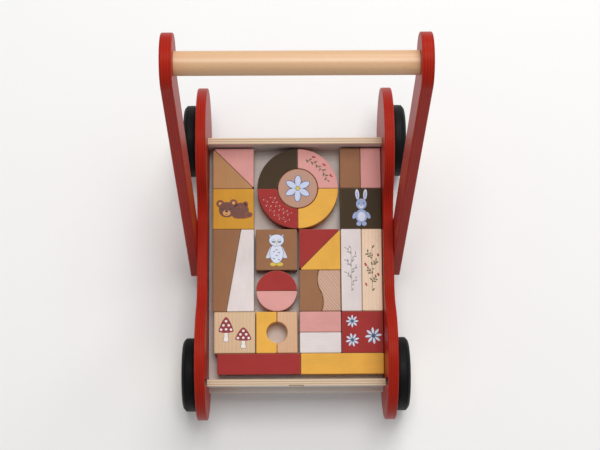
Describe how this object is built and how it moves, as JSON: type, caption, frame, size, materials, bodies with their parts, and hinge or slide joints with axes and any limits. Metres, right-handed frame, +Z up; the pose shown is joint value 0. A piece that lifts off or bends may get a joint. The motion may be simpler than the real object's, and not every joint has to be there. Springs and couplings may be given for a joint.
{
  "type": "baby walker",
  "caption": "Wooden push-along walker trolley with rubber-tyred wheels, a push bar on leaning side bars and a tray of loose printed building blocks that lift out.",
  "frame": {"origin": "on the ground under the middle of the wheelbase, which is the middle of the bounding box's underside", "axes": "+Z up, -Y the way the walker is pushed, +X to the right of the view from the front"},
  "size_m": [0.2766, 0.4062, 0.4846],
  "materials": {
    "red_lacquer": "satin lacquer over birch ply",
    "tray_board": "thin pale wash, bare ply edges",
    "beech": "clear satin lacquer",
    "steel": "zinc plated",
    "nylon": "matte",
    "tyre_rubber": "matte",
    "block_tan": "matte stain",
    "block_brown": "matte paint",
    "block_dark": "matte paint",
    "block_pink": "matte paint",
    "block_red": "matte paint",
    "block_yellow": "matte paint",
    "block_white": "matte paint",
    "block_natural": "clear matte lacquer"
  },
  "bodies": {
    "frame": {"axle_caps": "steel", "axle_washers": "steel", "front_axle": "steel", "front_wall": "tray_board", "handle_bolts": "steel", "handle_inserts": "steel", "left_handle_bar": "red_lacquer", "left_side_panel": "red_lacquer", "push_bar": "beech", "push_bar_screws": "steel", "rear_axle": "steel", "rear_wall": "tray_board", "right_handle_bar": "red_lacquer", "right_side_panel": "red_lacquer", "tray_floor": "tray_board", "wall_screws": "steel"},
    "front_left_wheel": {"front_left_wheel_bush": "nylon", "front_left_wheel_disc": "beech", "front_left_wheel_tyre": "tyre_rubber"},
    "front_right_wheel": {"front_right_wheel_bush": "nylon", "front_right_wheel_disc": "beech", "front_right_wheel_tyre": "tyre_rubber"},
    "rear_left_wheel": {"rear_left_wheel_bush": "nylon", "rear_left_wheel_disc": "beech", "rear_left_wheel_tyre": "tyre_rubber"},
    "rear_right_wheel": {"rear_right_wheel_bush": "nylon", "rear_right_wheel_disc": "beech", "rear_right_wheel_tyre": "tyre_rubber"},
    "block_bear_square": {"block_bear_square": "block_yellow"},
    "block_berry_plank": {"block_berry_plank": "block_natural"},
    "block_brown_brick": {"block_brown_brick": "block_brown"},
    "block_brown_trapezoid": {"block_brown_trapezoid": "block_brown"},
    "block_brown_wave": {"block_brown_wave": "block_brown"},
    "block_daisy_disc": {"block_daisy_disc": "block_natural"},
    "block_dark_ring_quarter": {"block_dark_ring_quarter": "block_dark"},
    "block_flower_square": {"block_flower_square": "block_red"},
    "block_mushroom_square": {"block_mushroom_square": "block_natural"},
    "block_natural_notched": {"block_natural_notched": "block_natural"},
    "block_natural_wave": {"block_natural_wave": "block_natural"},
    "block_owl_square": {"block_owl_square": "block_brown"},
    "block_pink_brick": {"block_pink_brick": "block_pink"},
    "block_pink_cross_brick": {"block_pink_cross_brick": "block_pink"},
    "block_pink_half_disc": {"block_pink_half_disc": "block_pink"},
    "block_pink_ring_quarter": {"block_pink_ring_quarter": "block_pink"},
    "block_pink_triangle": {"block_pink_triangle": "block_pink"},
    "block_rabbit_square": {"block_rabbit_square": "block_dark"},
    "block_red_front_plank": {"block_red_front_plank": "block_red"},
    "block_red_half_disc": {"block_red_half_disc": "block_red"},
    "block_red_ring_quarter": {"block_red_ring_quarter": "block_red"},
    "block_red_triangle": {"block_red_triangle": "block_red"},
    "block_tan_triangle": {"block_tan_triangle": "block_tan"},
    "block_white_cross_brick": {"block_white_cross_brick": "block_white"},
    "block_white_plank": {"block_white_plank": "block_white"},
    "block_white_trapezoid": {"block_white_trapezoid": "block_white"},
    "block_yellow_front_plank": {"block_yellow_front_plank": "block_yellow"},
    "block_yellow_notched": {"block_yellow_notched": "block_yellow"},
    "block_yellow_ring_quarter": {"block_yellow_ring_quarter": "block_yellow"},
    "block_yellow_triangle": {"block_yellow_triangle": "block_yellow"}
  },
  "joints": [
    {"name": "front_left_wheel_spin", "type": "hinge", "parent": "frame", "child": "front_left_wheel", "pos_m": [-0.1289, -0.147, 0.045], "axis": [1, 0, 0], "continuous": true},
    {"name": "front_right_wheel_spin", "type": "hinge", "parent": "frame", "child": "front_right_wheel", "pos_m": [0.1289, -0.147, 0.045], "axis": [1, 0, 0], "continuous": true},
    {"name": "rear_left_wheel_spin", "type": "hinge", "parent": "frame", "child": "rear_left_wheel", "pos_m": [-0.1289, 0.147, 0.045], "axis": [1, 0, 0], "continuous": true},
    {"name": "rear_right_wheel_spin", "type": "hinge", "parent": "frame", "child": "rear_right_wheel", "pos_m": [0.1289, 0.147, 0.045], "axis": [1, 0, 0], "continuous": true},
    {"name": "block_bear_square_lift", "type": "slide", "parent": "frame", "child": "block_bear_square", "axis": [0, 0, 1], "range_m": [0, 0.1]},
    {"name": "block_berry_plank_lift", "type": "slide", "parent": "frame", "child": "block_berry_plank", "axis": [0, 0, 1], "range_m": [0, 0.1]},
    {"name": "block_brown_brick_lift", "type": "slide", "parent": "frame", "child": "block_brown_brick", "axis": [0, 0, 1], "range_m": [0, 0.1]},
    {"name": "block_brown_trapezoid_lift", "type": "slide", "parent": "frame", "child": "block_brown_trapezoid", "axis": [0, 0, 1], "range_m": [0, 0.1]},
    {"name": "block_brown_wave_lift", "type": "slide", "parent": "frame", "child": "block_brown_wave", "axis": [0, 0, 1], "range_m": [0, 0.1]},
    {"name": "block_daisy_disc_lift", "type": "slide", "parent": "frame", "child": "block_daisy_disc", "axis": [0, 0, 1], "range_m": [0, 0.1]},
    {"name": "block_dark_ring_quarter_lift", "type": "slide", "parent": "frame", "child": "block_dark_ring_quarter", "axis": [0, 0, 1], "range_m": [0, 0.1]},
    {"name": "block_flower_square_lift", "type": "slide", "parent": "frame", "child": "block_flower_square", "axis": [0, 0, 1], "range_m": [0, 0.1]},
    {"name": "block_mushroom_square_lift", "type": "slide", "parent": "frame", "child": "block_mushroom_square", "axis": [0, 0, 1], "range_m": [0, 0.1]},
    {"name": "block_natural_notched_lift", "type": "slide", "parent": "frame", "child": "block_natural_notched", "axis": [0, 0, 1], "range_m": [0, 0.1]},
    {"name": "block_natural_wave_lift", "type": "slide", "parent": "frame", "child": "block_natural_wave", "axis": [0, 0, 1], "range_m": [0, 0.1]},
    {"name": "block_owl_square_lift", "type": "slide", "parent": "frame", "child": "block_owl_square", "axis": [0, 0, 1], "range_m": [0, 0.1]},
    {"name": "block_pink_brick_lift", "type": "slide", "parent": "frame", "child": "block_pink_brick", "axis": [0, 0, 1], "range_m": [0, 0.1]},
    {"name": "block_pink_cross_brick_lift", "type": "slide", "parent": "frame", "child": "block_pink_cross_brick", "axis": [0, 0, 1], "range_m": [0, 0.1]},
    {"name": "block_pink_half_disc_lift", "type": "slide", "parent": "frame", "child": "block_pink_half_disc", "axis": [0, 0, 1], "range_m": [0, 0.1]},
    {"name": "block_pink_ring_quarter_lift", "type": "slide", "parent": "frame", "child": "block_pink_ring_quarter", "axis": [0, 0, 1], "range_m": [0, 0.1]},
    {"name": "block_pink_triangle_lift", "type": "slide", "parent": "frame", "child": "block_pink_triangle", "axis": [0, 0, 1], "range_m": [0, 0.1]},
    {"name": "block_rabbit_square_lift", "type": "slide", "parent": "frame", "child": "block_rabbit_square", "axis": [0, 0, 1], "range_m": [0, 0.1]},
    {"name": "block_red_front_plank_lift", "type": "slide", "parent": "frame", "child": "block_red_front_plank", "axis": [0, 0, 1], "range_m": [0, 0.1]},
    {"name": "block_red_half_disc_lift", "type": "slide", "parent": "frame", "child": "block_red_half_disc", "axis": [0, 0, 1], "range_m": [0, 0.1]},
    {"name": "block_red_ring_quarter_lift", "type": "slide", "parent": "frame", "child": "block_red_ring_quarter", "axis": [0, 0, 1], "range_m": [0, 0.1]},
    {"name": "block_red_triangle_lift", "type": "slide", "parent": "frame", "child": "block_red_triangle", "axis": [0, 0, 1], "range_m": [0, 0.1]},
    {"name": "block_tan_triangle_lift", "type": "slide", "parent": "frame", "child": "block_tan_triangle", "axis": [0, 0, 1], "range_m": [0, 0.1]},
    {"name": "block_white_cross_brick_lift", "type": "slide", "parent": "frame", "child": "block_white_cross_brick", "axis": [0, 0, 1], "range_m": [0, 0.1]},
    {"name": "block_white_plank_lift", "type": "slide", "parent": "frame", "child": "block_white_plank", "axis": [0, 0, 1], "range_m": [0, 0.1]},
    {"name": "block_white_trapezoid_lift", "type": "slide", "parent": "frame", "child": "block_white_trapezoid", "axis": [0, 0, 1], "range_m": [0, 0.1]},
    {"name": "block_yellow_front_plank_lift", "type": "slide", "parent": "frame", "child": "block_yellow_front_plank", "axis": [0, 0, 1], "range_m": [0, 0.1]},
    {"name": "block_yellow_notched_lift", "type": "slide", "parent": "frame", "child": "block_yellow_notched", "axis": [0, 0, 1], "range_m": [0, 0.1]},
    {"name": "block_yellow_ring_quarter_lift", "type": "slide", "parent": "frame", "child": "block_yellow_ring_quarter", "axis": [0, 0, 1], "range_m": [0, 0.1]},
    {"name": "block_yellow_triangle_lift", "type": "slide", "parent": "frame", "child": "block_yellow_triangle", "axis": [0, 0, 1], "range_m": [0, 0.1]}
  ]
}
